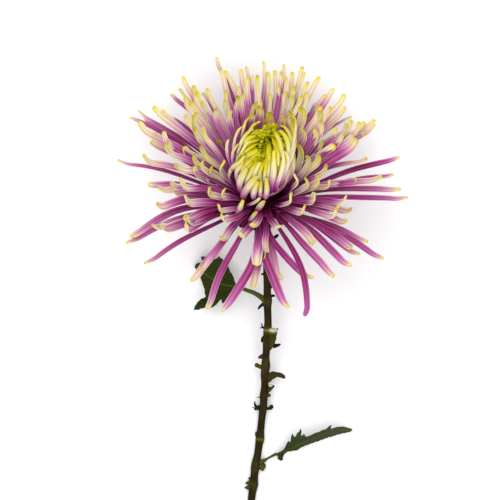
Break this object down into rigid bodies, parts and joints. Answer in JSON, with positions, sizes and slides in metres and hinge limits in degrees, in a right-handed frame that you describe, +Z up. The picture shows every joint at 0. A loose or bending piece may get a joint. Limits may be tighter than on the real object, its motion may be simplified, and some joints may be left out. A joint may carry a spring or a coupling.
{
  "type": "spider chrysanthemum cut flower",
  "caption": "Cut flower lying on its back: a wide bloom of narrow strap petals round a ball of incurved ones, on a bare stem with two lobed leaves.",
  "frame": {"origin": "on the surface that the flower lies on, under the centre of its box", "axes": "+Z up from the surface, +Y along the stem from its cut end to the bloom, +X to the bloom's right as it is looked at"},
  "size_m": [0.1456, 0.2321, 0.0897],
  "materials": {
    "ray_petal": "soft satin petal, deep magenta at the foot, pink-purple along the strap, cream then yellow-green at the tip",
    "incurved_petal": "soft satin petal, purple at the foot, cream outside, bright yellow to green at the eye",
    "bract": "matt green with pale papery margins",
    "stem": "ridged, dark olive-brown, paler at the nodes and at the cuts",
    "leaf": "matt dark green with paler veins"
  },
  "bodies": {
    "root": {"ray_florets": "ray_petal", "incurved_florets": "incurved_petal", "involucre": "bract", "stem": "stem", "leaf_near_bloom": "leaf", "leaf_near_cut": "leaf"}
  },
  "joints": []
}
